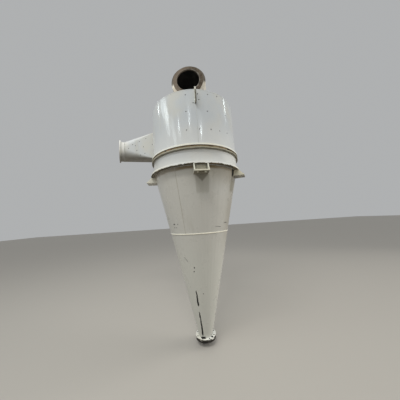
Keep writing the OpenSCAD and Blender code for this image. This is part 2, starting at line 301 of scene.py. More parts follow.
# %% Node helpers
class Finish:
    """A material with helpers that each add one node and return its output."""

    def __init__(self, name):
        self.material = bpy.data.materials.new(name)
        self.material.use_nodes = True
        self.tree = self.material.node_tree
        self.shader = self.tree.nodes["Principled BSDF"]
        self.where = self.tree.nodes.new("ShaderNodeTexCoord").outputs["Object"]

    def node(self, kind, **settings):
        made = self.tree.nodes.new(kind)
        for key, value in settings.items():
            setattr(made, key, value)
        return made

    def join(self, value, socket):
        """Links an output to a socket, or sets the socket to a number or a colour."""
        if hasattr(value, "is_linked"):
            self.tree.links.new(value, socket)
        else:
            socket.default_value = (*value, 1) if isinstance(value, tuple) else value

    def mapped(self, stretch=(1, 1, 1), shift=(0, 0, 0)):
        mapping = self.node("ShaderNodeMapping")
        self.join(self.where, mapping.inputs["Vector"])
        mapping.inputs["Location"].default_value = shift
        mapping.inputs["Scale"].default_value = stretch
        return mapping.outputs["Vector"]

    def noise(self, scale, detail=3, rough=0.55, stretch=(1, 1, 1), shift=(0, 0, 0)):
        texture = self.node("ShaderNodeTexNoise")
        self.join(self.mapped(stretch, shift), texture.inputs["Vector"])
        texture.inputs["Scale"].default_value = scale
        texture.inputs["Detail"].default_value = detail
        texture.inputs["Roughness"].default_value = rough
        return texture.outputs["Fac"]

    def step(self, value, low, high, to_low=0.0, to_high=1.0):
        """Values from low to high become to_low to to_high, smoothly."""
        remap = self.node("ShaderNodeMapRange", interpolation_type="SMOOTHSTEP")
        self.join(value, remap.inputs["Value"])
        names = ("From Min", "From Max", "To Min", "To Max")
        for socket, number in zip(names, (low, high, to_low, to_high)):
            remap.inputs[socket].default_value = number
        return remap.outputs["Result"]

    def math(self, operation, *values):
        made = self.node("ShaderNodeMath", operation=operation)
        for value, socket in zip(values, made.inputs):
            self.join(value, socket)
        return made.outputs[0]

    def times(self, first, *others):
        for other in others:
            first = self.math("MULTIPLY", first, other)
        return first

    def plus(self, a, b):
        return self.math("ADD", a, b)

    def mix(self, amount, a, b):
        made = self.node("ShaderNodeMix", data_type="RGBA")
        for value, socket in ((amount, "Factor"), (a, "A"), (b, "B")):
            self.join(value, made.inputs[socket])
        return made.outputs["Result"]

    def place(self, letter):
        """One coordinate of the object, in metres."""
        parts = self.node("ShaderNodeSeparateXYZ")
        self.join(self.where, parts.inputs[0])
        return parts.outputs[letter]

    def height(self):
        return self.place("Z")

    def looks_up(self):
        """The upright part of a face's direction, from minus one to one."""
        parts = self.node("ShaderNodeSeparateXYZ")
        self.join(self.node("ShaderNodeNewGeometry").outputs["Normal"], parts.inputs[0])
        return parts.outputs["Z"]

    def looks_down(self, start, whole):
        """One where a face looks down, zero where it looks sideways or up."""
        return self.step(self.looks_up(), start, whole)

    def vector(self, operation, a, b=None, output="Value"):
        made = self.node("ShaderNodeVectorMath", operation=operation)
        self.join(a, made.inputs[0])
        if b is not None:
            self.join(b, made.inputs[1])
        return made.outputs[output]

    def radius(self):
        """The distance from the vessel's axis, in metres."""
        return self.vector("LENGTH", self.mapped((1, 1, 0), (-AXIS.x, -AXIS.y, 0)))

    def looks_outward(self):
        """One where a face looks straight away from the vessel's axis."""
        away = self.vector("NORMALIZE", self.mapped((1, 1, 0), (-AXIS.x, -AXIS.y, 0)), output="Vector")
        return self.vector("DOT_PRODUCT", self.node("ShaderNodeNewGeometry").outputs["Normal"], away)

    def turn(self):
        """The turn about the vessel's axis, in radians."""
        parts = self.node("ShaderNodeSeparateXYZ")
        self.join(self.mapped(shift=(-AXIS.x, -AXIS.y, 0)), parts.inputs[0])
        return self.math("ARCTAN2", parts.outputs["X"], self.times(parts.outputs["Y"], -1.0))

    def turned(self, first, last, to_first=0.0, to_last=1.0):
        """A step along the turn, from one angle in degrees to another."""
        return self.step(self.turn(), math.radians(first), math.radians(last), to_first, to_last)

    def bump(self, value, strength, distance, under=None):
        made = self.node("ShaderNodeBump")
        made.inputs["Strength"].default_value = strength
        made.inputs["Distance"].default_value = distance
        self.join(value, made.inputs["Height"])
        if under is not None:
            self.join(under, made.inputs["Normal"])
        return made.outputs["Normal"]

    def done(self, colour, roughness, normal=None, metallic=0.0):
        self.join(colour, self.shader.inputs["Base Color"])
        self.join(roughness, self.shader.inputs["Roughness"])
        self.join(metallic, self.shader.inputs["Metallic"])
        if normal is not None:
            self.join(normal, self.shader.inputs["Normal"])
        print("finish", self.material.name, "with", len(self.tree.nodes), "nodes")
        return self.material


# %% [markdown]
# ### Glossy barrel paint
# The barrel, its rings and the elbow wear a pale grey-white gloss. Broad noise
# makes it a little warmer here and cooler there, noise stretched along Z makes
# runs of dust, and a rare fine noise makes specks of dirt. Faces that look down
# are painted dark brown, in noisy patches: this is painted shade.

# %% Gloss paint
PALE = (0.560, 0.577, 0.575)
# One dark brown, for specks of dirt and for the painted shade on faces that look down.
DIRT_AND_SHADE = (0.085, 0.064, 0.034)


def shade(tint, factors):
    return tuple(c * k for c, k in zip(tint, factors))


def gloss_coats(f, tint, dust=0.35, under_amount=0.9, down=(-0.35, -0.8), least=0.55):
    """The colour and roughness of the paint, as sockets that a finish can go on from."""
    warm, cool = shade(tint, (1.03, 1.0, 0.94)), shade(tint, (0.96, 0.98, 1.01))
    colour = f.mix(f.step(f.noise(2.1, 4), 0.38, 0.64), cool, warm)
    runs = f.step(f.noise(9, 5, 0.6, (1, 1, 0.10)), 0.54, 0.74)
    colour = f.mix(f.times(runs, dust), colour, shade(tint, (0.82, 0.80, 0.73)))
    specks = f.step(f.noise(150, 2, 0.5), 0.70, 0.76)
    colour = f.mix(f.times(specks, 0.45), colour, DIRT_AND_SHADE)
    # Painted shade: faces that look down are darkened to the dark brown, in noisy patches.
    patches = f.step(f.noise(14, 5, 0.65, shift=(3, 1, 2)), 0.25, 0.60, least, 1.0)
    colour = f.mix(f.times(f.looks_down(*down), patches, under_amount), colour, DIRT_AND_SHADE)
    rough = f.step(f.noise(5, 4, shift=(5, 2, 1)), 0.35, 0.7, 0.10, 0.24)
    return colour, f.plus(rough, f.times(runs, 0.10))


def orange_peel(f):
    broad = f.bump(f.noise(2.6, 1), 0.014, 0.012)
    return f.bump(f.noise(420, 1, 0.4), 0.008, 0.0004, broad)


def gloss_paint(name, tint, **coats):
    f = Finish(name)
    colour, rough = gloss_coats(f, tint, **coats)
    return f.done(colour, rough, orange_peel(f))


# %% [markdown]
# ### One recipe, several paints
# The same coats give every plain gloss paint. Only the tint, the dust and the
# painted shade on faces that look down differ: the duct and its collar are
# shaded only on the very underside, and the ring and the feet under all that
# looks down, the left and back feet more lightly.

# %% Plain gloss paints
# The elbow's warm tint is painted light: warm light and reflections that fall on its pale paint.
ELBOW_TINT = (0.72, 0.648, 0.535)
duct_paint = gloss_paint(
    "duct_paint", (0.77, 0.775, 0.75), dust=0.4, under_amount=0.84, down=(0.02, -0.98), least=0.9
)
elbow_paint = gloss_paint("elbow_paint", ELBOW_TINT, dust=0.5)
rim_paint = gloss_paint("rim_paint", (0.90, 0.885, 0.79), dust=0.5)
# The collar's paint is whiter than the duct's as painted light, for the bright reflection on its top.
collar_paint = gloss_paint(
    "collar_paint", (0.88, 0.885, 0.87), dust=0.3, under_amount=0.82, down=(-0.1, -0.95), least=0.9
)
pale_foot_paint = gloss_paint("pale_foot_paint", (0.74, 0.72, 0.63), dust=0.5, under_amount=0.5)
seam_paint = gloss_paint("seam_paint", (0.44, 0.425, 0.375), dust=0.5)
ring_paint = gloss_paint(
    "ring_paint", (0.87, 0.865, 0.80), dust=0.5, under_amount=1.0, down=(-0.2, -0.6), least=0.9
)
foot_paint = gloss_paint("foot_paint", (0.74, 0.72, 0.60), dust=0.5, under_amount=0.97)

# %% [markdown]
# ### Paint with painted light
# The barrel and the band under it are painted lighter towards their foot, and
# the band also on its right and just under the joint: this is painted light.
# Both start from the same coats of gloss paint, and a mask from the height or
# the turn lightens them.

# %% Gloss paints with painted light
def lightened_barrel(name):
    f = Finish(name)
    colour, rough = gloss_coats(f, PALE)
    foot = top_of("barrel_flange")
    # Painted light: the barrel's paint turns lighter towards its foot.
    painted_light = f.step(f.height(), foot + 0.40, foot + 0.02, 0.0, 0.85)
    return f.done(f.mix(painted_light, colour, (0.67, 0.68, 0.67)), rough, orange_peel(f))


def lightened_band(name):
    f = Finish(name)
    colour, rough = gloss_coats(f, (0.55, 0.55, 0.528))
    low, high = bottom_of("band_shell"), top_of("band_shell")
    # Painted light: the band turns lighter towards its foot, on its right and just under the joint.
    painted_light = f.math("MAXIMUM", f.step(f.height(), high, low, 0.0, 0.6), f.turned(15, 45, 0.0, 0.7))
    light_under_rim = f.step(f.height(), high - 0.050, high - 0.005, 0.0, 0.8)
    painted_light = f.math("MAXIMUM", painted_light, light_under_rim)
    return f.done(f.mix(painted_light, colour, (0.80, 0.80, 0.765)), rough, orange_peel(f))


barrel_paint = lightened_barrel("barrel_paint")
band_paint = lightened_band("band_paint")

# %% [markdown]
# ### Paint with dirt, dark edges and painted shade
# Four finishes carry more marks. Soot lies on top of the elbow's mouth, and the
# lower ring of the barrel joint is caked with dirt and packing. The outward
# edges of the lugs are dark below the hole. The holes of the dust flange are
# painted near black inside, and its outer edge dark in patches: painted shade.
# A mask from the height, the radius or the way a face looks adds it.

# %% Gloss paints with dirt and painted shade
def sooty_topped(name, above):
    f = Finish(name)
    colour, rough = gloss_coats(f, ELBOW_TINT, dust=0.5)
    ragged = f.plus(f.height(), f.times(f.noise(14, 4), 0.05))
    soot = f.step(ragged, above, above + 0.06)
    colour = f.mix(f.times(soot, 0.9), colour, (0.068, 0.053, 0.038))
    return f.done(colour, f.plus(rough, f.times(soot, 0.3)), orange_peel(f))


def caked_rim(name):
    f = Finish(name)
    colour, rough = gloss_coats(f, (0.50, 0.48, 0.37), under_amount=1.0, down=(-0.2, -0.6))
    foot = bottom_of("band_flange")
    ragged = f.plus(f.height(), f.times(f.noise(21, 5, 0.65), 0.016))
    cake = f.step(ragged, foot + 0.022, foot + 0.010, 0.25, 1.0)
    cake = f.times(cake, f.step(f.looks_outward(), 0.2, 0.7, 0.5, 1.0), 0.9)
    blotches = f.step(f.noise(26, 4, shift=(1, 4, 2)), 0.4, 0.62)
    colour = f.mix(cake, colour, f.mix(blotches, (0.075, 0.066, 0.045), (0.19, 0.165, 0.115)))
    return f.done(colour, f.plus(rough, 0.35), f.bump(f.noise(90, 4), 0.4, 0.002))


def dark_edged(name, below):
    f = Finish(name)
    colour, rough = gloss_coats(f, (0.74, 0.73, 0.66))
    # The outward edges below the hole are painted dark, in patches.
    edge = f.times(f.step(f.looks_outward(), 0.80, 0.95), f.step(f.height(), below, below - 0.02))
    patches = f.step(f.noise(30, 4), 0.25, 0.55, 0.6, 1.0)
    colour = f.mix(f.times(edge, patches), colour, (0.095, 0.085, 0.058))
    return f.done(colour, f.plus(rough, f.times(edge, 0.4)), orange_peel(f))


def shade_holed(name, within):
    f = Finish(name)
    colour, rough = gloss_coats(f, (0.92, 0.92, 0.86))
    # Painted shade: the walls in the flange's holes are painted near black, and its outer edge dark in
    # noisy patches.
    walls = f.step(f.math("ABSOLUTE", f.looks_up()), 0.3, 0.6, 1.0, 0.0)
    hole_shade = f.times(walls, f.step(f.radius(), within - 0.002, within, 1.0, 0.0))
    colour = f.mix(hole_shade, colour, (0.012, 0.011, 0.010))
    edge_shade = f.times(f.step(f.radius(), within, within + 0.002), walls)
    edge_shade = f.times(edge_shade, f.step(f.noise(30, 3), 0.60, 0.52))
    return f.done(f.mix(edge_shade, colour, (0.035, 0.030, 0.022)), rough, orange_peel(f))


elbow_rim = sooty_topped("elbow_rim", mount_place("outlet_mouth")[0].z - 0.04)
joint_rim = caked_rim("joint_rim")
lug_paint = dark_edged("lug_paint", mount_place("front_lug_hole")[0].z - 0.01)
tip_paint = shade_holed("tip_paint", radius_of("dust_flange") - 0.006)

# %% [markdown]
# ### Painted shadows and stains on the cone
# Under each foot lies a long painted shadow, and in it a darker wedge that ends
# in a point, its painted umbra. Under the support ring hangs a brown band, the
# ring's painted shadow and a dirt stain in one. Painted shade darkens the cone
# under the ring and lower down on its right, growing towards the right. Behind
# the front foot's plate the steel is painted pale, as painted light. All are
# masks from the turn and the height, so they follow the vessel, seen from any
# side.

# %% Masks under the feet and the ring
FEET = ("front", "right", "back", "left")
FOOT_TURNS = {side: mount_turn(side + "_foot_bolts") for side in FEET}
# Where and how strong the painted shadows under the feet lie, and how fast their painted umbras narrow.
SHADOW_DRIFT = {"front": 1.8, "right": -7.5, "back": 0.0, "left": 0.0}
SHADOW_AMOUNT = {"front": 0.27, "right": 0.62, "back": 0.4, "left": 0.4}
UMBRA_DRIFT = 1.4
UMBRA_NARROWS = math.radians(8.0) / 0.084
# The colour of the painted shade on the cone under the ring and on its right.
SIDE_SHADE = (0.31, 0.28, 0.22)


def near_turn(f, turn, outer, inner, to_outer=0.0, to_inner=1.0, narrowing=0.0):
    """A step from an outer to an inner angle, in degrees, on both sides of a turn."""
    away = f.math("SUBTRACT", f.turn(), math.radians(turn))
    away = f.plus(f.math("ABSOLUTE", f.math("WRAP", away, math.pi, -math.pi)), narrowing)
    return f.step(away, math.radians(outer), math.radians(inner), to_outer, to_inner)


def foot_shadow_masks(f, side):
    """The long painted shadow on the cone under a foot, and the darker painted umbra in it."""
    below = f.math("SUBTRACT", bottom_of(side + "_foot_plate"), f.height())
    starts = f.step(below, -0.002, 0.002)
    beside = near_turn(f, FOOT_TURNS[side] + SHADOW_DRIFT[side], 9.2, 7.6)
    narrowing = f.times(below, UMBRA_NARROWS)
    umbra = near_turn(f, FOOT_TURNS[side] + UMBRA_DRIFT, 9.4, 6.4, narrowing=narrowing)
    return f.times(f.step(below, 0.24, 0.19), beside, starts), f.times(umbra, starts)


def ring_shade_and_stains(f, colour):
    """Adds the painted shade towards the right, the ring's painted shadow with its dirt stain, and the
    painted light behind the front foot's plate.
    """
    edge = f.plus(f.height(), f.times(f.noise(6, 4), 0.03))
    # Painted shade under the ring, growing towards the right.
    right_shade = f.times(f.step(edge, LEDGE_UNDER - 0.32, LEDGE_UNDER + 0.02), f.turned(-35, 60, 0.08, 0.95))
    colour = f.mix(right_shade, colour, SIDE_SHADE)
    # Painted shade lower down on the cone's right side.
    low_right_shade = f.step(edge, LEDGE_UNDER - 1.7, LEDGE_UNDER - 0.35)
    colour = f.mix(f.times(f.turned(38, 66, 0.0, 0.6), low_right_shade), colour, SIDE_SHADE)
    # The ring's painted shadow and a brown dirt stain, in one band.
    shadow_and_stain = f.step(edge, LEDGE_UNDER - 0.034, LEDGE_UNDER - 0.012)
    shadow_and_stain = f.times(shadow_and_stain, f.turned(-32, -14, 0.52, 0.88), f.turned(18, 34, 1.0, 0.62))
    shadow_and_stain = f.times(shadow_and_stain, near_turn(f, FOOT_TURNS["front"], 6.2, 7.0, 0.12, 1.0))
    colour = f.mix(shadow_and_stain, colour, (0.168, 0.118, 0.046))
    # Painted light: the cone between the front foot's gussets is painted pale.
    plate_top = top_of("front_foot_plate")
    bracket_light = f.step(f.height(), plate_top, plate_top + 0.01)
    bracket_light = f.times(bracket_light, near_turn(f, FOOT_TURNS["front"], 7.0, 6.2), 0.6)
    return f.mix(bracket_light, colour, (0.85, 0.82, 0.69))


print("feet at turns", {side: round(turn, 1) for side, turn in FOOT_TURNS.items()})

# %% [markdown]
# ### Satin cone paint
# The cone is a shade duller and warmer. A press brake bent its plates in many
# small steps, so the sheet has faint flats that run to the tip. The turn about
# the axis, cut into equal parts, gives each flat a shallow hollow in the bump.

# %% Satin paint
FLATS = 44


def satin_paint(name):
    f = Finish(name)
    colour = f.mix(f.step(f.noise(1.7, 4), 0.36, 0.66), (0.572, 0.564, 0.524), (0.582, 0.566, 0.518))
    streaks = f.step(f.noise(12, 5, 0.6, (1, 1, 0.06), (0, 0, 4)), 0.50, 0.74)
    colour = f.mix(f.times(streaks, 0.3), colour, (0.45, 0.43, 0.37))
    specks = f.step(f.noise(170, 2, 0.5, shift=(1, 2, 3)), 0.70, 0.76)
    colour = ring_shade_and_stains(f, f.mix(f.times(specks, 0.5), colour, (0.14, 0.11, 0.08)))
    # Painted light: the lower cone is painted lighter.
    lower_cone_light = f.step(f.height(), SEAM_Z + 0.1, SEAM_Z - 0.5)
    colour = f.mix(f.times(lower_cone_light, 0.75), colour, (0.615, 0.61, 0.55))
    # Painted shadow under each foot, and the darker painted umbra in it.
    for side in FEET:
        foot_shadow, umbra = foot_shadow_masks(f, side)
        colour = f.mix(f.times(foot_shadow, SHADOW_AMOUNT[side]), colour, (0.20, 0.18, 0.12))
        colour = f.mix(f.times(umbra, 0.60), colour, (0.085, 0.068, 0.036))
    off_edge = f.math("PINGPONG", f.times(f.turn(), FLATS / (2 * math.pi)), 0.5)
    flats = f.bump(f.times(off_edge, f.times(off_edge, -4.0)), 0.35, 0.0016)
    waves = f.bump(f.noise(3, 2, stretch=(1, 1, 0.4)), 0.05, 0.012, flats)
    peel = f.bump(f.noise(380, 1, 0.4), 0.06, 0.0006, waves)
    rough = f.step(f.noise(6, 4, shift=(2, 7, 1)), 0.35, 0.7, 0.26, 0.42)
    return f.done(colour, rough, peel)


cone_paint = satin_paint("cone_paint_satin")

# %% [markdown]
# ### Bare and rusty steel
# The ring in the elbow's mouth was never painted, and has gone brown, a little
# less on its left. The packing of the barrel joint is rust, old sealant and
# soot in one. The inside of the vessel is dark, worn steel, which air and dust
# have polished.

# %% Steel finishes
def bare_steel(name, brown=(0.085, 0.063, 0.043), grey=(0.160, 0.130, 0.095), lighter_left=0.0):
    """Brown and grey steel; the last argument, if set, lightens what lies left of the vessel's axis."""
    f = Finish(name)
    colour = f.mix(f.step(f.noise(16, 6, 0.65), 0.40, 0.66), brown, grey)
    rust = f.step(f.noise(34, 5, 0.7, shift=(2, 0, 1)), 0.56, 0.70)
    colour = f.mix(rust, colour, shade(brown, (1.5, 1.1, 0.9)))
    if lighter_left:
        left = f.step(f.place("X"), AXIS.x + 0.06, AXIS.x - 0.14, 0.0, lighter_left)
        colour = f.mix(left, colour, (0.27, 0.215, 0.165))
    rough = f.step(f.noise(40, 4), 0.3, 0.7, 0.45, 0.8)
    return f.done(colour, rough, f.bump(f.noise(120, 4, 0.6), 0.4, 0.0012), metallic=0.35)


def rusty_packing(name, deep=(0.16, 0.11, 0.06), light=(0.40, 0.315, 0.19)):
    f = Finish(name)
    colour = f.mix(f.step(f.noise(11, 5, 0.65), 0.38, 0.66), deep, light)
    dark = f.step(f.noise(19, 5, 0.6, shift=(4, 4, 0)), 0.54, 0.63)
    colour = f.mix(dark, colour, (0.035, 0.028, 0.022))
    pinkish = f.step(f.noise(6, 3, shift=(0, 3, 3)), 0.55, 0.66)
    colour = f.mix(f.times(pinkish, 0.6), colour, shade(light, (1.25, 0.9, 0.85)))
    return f.done(colour, 0.8, f.bump(f.noise(70, 5, 0.7), 0.7, 0.003))


def inner_steel(name):
    f = Finish(name)
    colour = f.mix(f.step(f.noise(8, 5), 0.35, 0.7), (0.020, 0.019, 0.018), (0.055, 0.05, 0.045))
    rough = f.step(f.noise(12, 4), 0.3, 0.7, 0.45, 0.75)
    return f.done(colour, rough, f.bump(f.noise(60, 4), 0.3, 0.001))


mouth_steel = bare_steel("mouth_steel", lighter_left=0.75)
counter_steel = bare_steel("counter_steel", (0.020, 0.018, 0.015), (0.055, 0.05, 0.042))
packing = rusty_packing("joint_rust")
inside = inner_steel("inside_steel")

# %% [markdown]
# ### Putting the finishes on the CAD nodes
# A node keeps its mesh, and only its material slot is filled anew. Some nodes
# have a finish of their own. The others share one, found by a word in their
# name, and the barrel's paint goes on what is left.

# %% Dress the CAD nodes
OWN_FINISHES = {
        "inlet_collar": collar_paint,
        "inlet_flange": collar_paint,
        "band_shell": band_paint,
        "barrel_flange": rim_paint,
        "support_ring": ring_paint,
        "cone_seam_ring": rim_paint,
        "band_flange": joint_rim,
        "dust_flange": tip_paint,
        "joint_packing": packing,
        "mouth_ring": mouth_steel,
        "outlet_mouth": elbow_rim,
        "counter_flange": counter_steel,
        "vortex_finder": inside,
}
SHARED_FINISHES = [
    ("cone", cone_paint),
    ("inlet", duct_paint),
    ("outlet", elbow_paint),
    ("_lug", lug_paint),
    ("left_foot", pale_foot_paint),
    ("back_foot", pale_foot_paint),
    ("_foot_", foot_paint),
    ("", barrel_paint),
]
for node_name, thing in frame["nodes"].items():
    shared = next(finish for word, finish in SHARED_FINISHES if word in node_name)
    for material_slot in thing.material_slots:
        material_slot.material = OWN_FINISHES.get(node_name, shared)
print("dressed", len(frame["nodes"]), "nodes")

# %% [markdown]
# ## Weld beads
# Every joint of the vessel is welded by hand. A bead is a soft rope of metal in
# the corner between two plates, a little uneven along its length. A real one
# could be made as a curve with a bevel, but a small circle spun round the axis
# gives a closed mesh at once, and a little noise makes it look hand-laid.

# %% Helpers for pieces and beads
BEAD_SIDES = 6
BEAD_STEP = 0.012
LUMP_WAVES, GRAIN_WAVES = 45, 140
MERGE_DISTANCE = 0.01 * MM


def new_piece(name, bm, finish):
    """Turns a bmesh into a finished piece that rides on the vessel."""
    bmesh.ops.remove_doubles(bm, verts=bm.verts, dist=MERGE_DISTANCE)
    bmesh.ops.recalc_face_normals(bm, faces=bm.faces)
    for face in bm.faces:
        face.smooth = True
    mesh = bpy.data.meshes.new(name)
    bm.to_mesh(mesh)
    bm.free()
    mesh.materials.append(finish)
    piece = bpy.data.objects.new(name, mesh)
    bpy.context.scene.collection.objects.link(piece)
    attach(piece, "root")
    print("piece", name, "with", len(mesh.polygons), "faces")
    return piece


def level(z):
    """A place for a ring round the vessel's axis."""
    return Matrix.Translation(AXIS + Vector((0, 0, z)))


def facing(place, direction):
    """A place for a ring whose axis points along a direction."""
    return Matrix.Translation(place) @ Vector(direction).to_track_quat("Z", "Y").to_matrix().to_4x4()


def put_in(bm, part, matrix):
    """Moves a finished part of a piece to its place and adds it to the piece."""
    bmesh.ops.transform(part, matrix=matrix, verts=part.verts)
    carrier = bpy.data.meshes.new("carrier")
    part.to_mesh(carrier)
    part.free()
    bm.from_mesh(carrier)
    bpy.data.meshes.remove(carrier)


def make_uneven(part, core_of, ragged, seed):
    """Moves each vertex of a bead nearer to or away from the bead's core."""
    for vert in part.verts:
        core = core_of(vert.co)
        lump = noise.noise(vert.co * LUMP_WAVES + Vector((seed, 0, 0)))
        lump += 0.5 * noise.noise(vert.co * GRAIN_WAVES)
        vert.co = core + (vert.co - core) * (1 + ragged * lump)


def ring_bead(bm, place, radius, thick, first=0.0, last=360.0, ragged=0.35, seed=0.0):
    """Adds a bead round the local Z axis, from one turn to another in degrees."""
    part = bmesh.new()
    start = (
        Matrix.Rotation(math.radians(first - 90), 4, "Z")
        @ Matrix.Translation((radius, 0, 0))
        @ Matrix.Rotation(math.radians(90), 4, "X")
    )
    bmesh.ops.create_circle(part, cap_ends=False, radius=thick, segments=BEAD_SIDES, matrix=start)
    sweep = math.radians(last - first)
    whole = abs(last - first - 360) < 0.01
    bmesh.ops.spin(
        part,
        geom=part.verts[:] + part.edges[:],
        cent=(0, 0, 0),
        axis=(0, 0, 1),
        angle=sweep,
        steps=max(24, int(radius * sweep / BEAD_STEP)),
        use_merge=whole,
    )
    if not whole:
        open_edges = [edge for edge in part.edges if edge.is_boundary]
        bmesh.ops.holes_fill(part, edges=open_edges, sides=BEAD_SIDES)

    def core_of(co):
        return Vector((co.x, co.y, 0)).normalized() * radius

    make_uneven(part, core_of, ragged, seed)
    put_in(bm, part, place)


def straight_bead(bm, start, end, thick, ragged=0.35, seed=0.0):
    """Adds a bead between two points."""
    start, end = Vector(start), Vector(end)
    length = (end - start).length
    part = bmesh.new()
    bmesh.ops.create_cone(
        part, cap_ends=True, segments=BEAD_SIDES, radius1=thick, radius2=thick, depth=length
    )
    rise = [abs(edge.verts[0].co.z - edge.verts[1].co.z) for edge in part.edges]
    long_edges = [edge for edge, climb in zip(part.edges, rise) if climb > length / 2]
    cuts = max(2, int(length / BEAD_STEP))
    bmesh.ops.subdivide_edges(part, edges=long_edges, cuts=cuts, use_grid_fill=True)
    make_uneven(part, lambda co: Vector((0, 0, co.z)), ragged, seed)
    put_in(bm, part, facing((start + end) / 2, end - start))


# %% [markdown]
# ### Beads round the vessel
# Where the roof, the rings and the cone meet, the bead runs all round. The two
# on the flange of the dust outlet and under the support ring fill a corner that
# the camera looks straight into.

# %% Ring beads
bead_paint = gloss_paint("bead_paint", (0.56, 0.57, 0.54), dust=0.6)
roof_top = top_of("roof_plate")

for name, radius, z, thick in [
    ("roof_rim_bead", BARREL_R - 1.6 * MM, bottom_of("roof_plate"), 2.4 * MM),
    ("pipe_foot_bead", PIPE_R, roof_top, 7 * MM),
    ("pipe_top_bead", PIPE_R, top_of("outlet_pipe"), 4 * MM),
    ("barrel_foot_bead", BARREL_R, top_of("barrel_flange"), 5 * MM),
    ("band_top_bead", BARREL_R, bottom_of("band_flange"), 5 * MM),
    ("band_foot_bead", BARREL_R, top_of("support_ring"), 6 * MM),
    ("cone_top_bead", cone_radius(LEDGE_UNDER), LEDGE_UNDER, 7 * MM),
    ("cone_tip_bead", TIP_R + 1 * MM, TIP_Z, 7 * MM),
]:
    bm = bmesh.new()
    ring_bead(bm, level(z), radius, thick, seed=z * 10)
    new_piece(name, bm, bead_paint)

# %% [markdown]
# ### Beads of the elbow and the inlet's collar
# The elbow's end and the inlet's round parts have rings about their own axes.
# These axes come from the record's mounts, which say where each mouth is and
# where it points.

# %% Elbow and collar beads
mouth_at, mouth_axis = mount_place("outlet_mouth")
elbow_r = mouth_at.z - top_of("outlet_pipe")
elbow_end = AXIS + mouth_axis * elbow_r + Vector((0, 0, mouth_at.z))
inlet_at, inlet_axis = mount_place("inlet_flange_bolts")
inlet_axis = Vector((inlet_axis.x, inlet_axis.y, 0)).normalized()
across = Vector((inlet_axis.y, -inlet_axis.x, 0))
print("mouth at", [round(v, 3) for v in mouth_at], "inlet at", [round(v, 3) for v in inlet_at])
print("bend radius", round(elbow_r, 3))

bm = bmesh.new()
ring_bead(bm, facing(elbow_end + mouth_axis * 3 * MM, mouth_axis), PIPE_R - 6 * MM, 4.5 * MM, seed=3)
new_piece("elbow_end_bead", bm, elbow_rim)

collar_r = (top_of("inlet_collar") - bottom_of("inlet_collar")) / 2
collar_ends = spread("inlet_collar", inlet_axis)
for name, along, thick in [
    ("collar_bead", collar_ends[0], 4 * MM),
    ("inlet_flange_bead", collar_ends[1], 5 * MM),
]:
    bm = bmesh.new()
    place = inlet_at + inlet_axis * (along - (inlet_at - AXIS).dot(inlet_axis))
    ring_bead(bm, facing(place, inlet_axis), collar_r, thick, seed=thick * 900)
    new_piece(name, bm, bead_paint)

# %% [markdown]
# ### Beads of the duct
# The duct has flat sides, so a straight bead lies along each side of its end.
# Its root is welded along two upright corners and two arcs on the barrel.

# %% Duct beads
low, high = spread("inlet_duct", across)
half_w = (high - low) / 2
half_h = (top_of("inlet_duct") - bottom_of("inlet_duct")) / 2
duct_end = spread("inlet_duct", inlet_axis)[1]
duct_middle = middle_of("inlet_duct").z
duct_offset = (inlet_at - AXIS).dot(across)


def by_duct(along, aside, up):
    """A point along the inlet, aside from its middle plane and up from the duct's middle."""
    return AXIS + inlet_axis * along + across * (duct_offset + aside) + Vector((0, 0, duct_middle + up))


bm = bmesh.new()
corners = [(-half_w, -half_h), (half_w, -half_h), (half_w, half_h), (-half_w, half_h)]
for corner, next_corner in zip(corners, corners[1:] + corners[:1]):
    start, end = by_duct(duct_end, *corner), by_duct(duct_end, *next_corner)
    straight_bead(bm, start, end, 4 * MM, seed=corner[1])
new_piece("duct_end_bead", bm, bead_paint)

bm = bmesh.new()
inlet_turn = math.degrees(math.atan2(inlet_axis.x, -inlet_axis.y))
roots = []
for aside in (-half_w, half_w):
    reach = math.sqrt(BARREL_R**2 - (duct_offset + aside) ** 2)
    straight_bead(bm, by_duct(reach, aside, -half_h), by_duct(reach, aside, half_h), 6 * MM, seed=aside)
    roots.append(inlet_turn - math.degrees(math.acos(reach / BARREL_R)))
for up in (-half_h, half_h):
    ring_bead(bm, level(duct_middle + up), BARREL_R, 6 * MM, min(roots), max(roots), seed=up)
new_piece("duct_root_bead", bm, bead_paint)
print("duct's root from turn", round(min(roots), 1), "to", round(max(roots), 1))

# %% [markdown]
# ### Beads of the feet
# Each foot has a bead along both gussets, on the plate, under the support ring
# and up the cone between them. The feet point straight away from the axis, so
# each bead is laid from the foot's turn, a step aside and two radii.

# %% Feet beads
GUSSET_T, GUSSET_BACK = 12 * MM, 16 * MM


def from_axis(turn, aside, radius, z):
    """A point straight out at a turn, moved aside at a right angle."""
    a = math.radians(turn)
    return around(turn, radius, z) + Vector((math.cos(a), math.sin(a), 0)) * aside


def sizes_of(node, mount):
    """Half the width of a node that points away from the axis, and its reach."""
    turn = mount_turn(mount)
    low, high = spread(node, from_axis(turn, 1, 0, 0) - AXIS)
    return (high - low) / 2, spread(node, around(turn, 1, 0) - AXIS)[1]


half_foot, foot_reach = sizes_of("front_foot_plate", "front_foot_bolts")
print("foot", round(2 * half_foot, 3), "wide, reach", round(foot_reach, 3))
for side, turn in FOOT_TURNS.items():
    plate_top = top_of(side + "_foot_plate")
    bm = bmesh.new()
    for aside in (GUSSET_T - half_foot, half_foot - GUSSET_T):
        on_sheet = []
        for z, outer in ((plate_top, foot_reach - GUSSET_BACK), (LEDGE_UNDER, LEDGE_R - 6 * MM)):
            inner = math.sqrt(cone_radius(z) ** 2 - aside**2)
            start, end = (from_axis(turn, aside, out, z) for out in (inner + 4 * MM, outer))
            straight_bead(bm, start, end, 5 * MM, seed=z)
            on_sheet.append(from_axis(turn, aside, inner, z))
        straight_bead(bm, *on_sheet, 5 * MM)
    new_piece(side + "_foot_beads", bm, bead_paint)

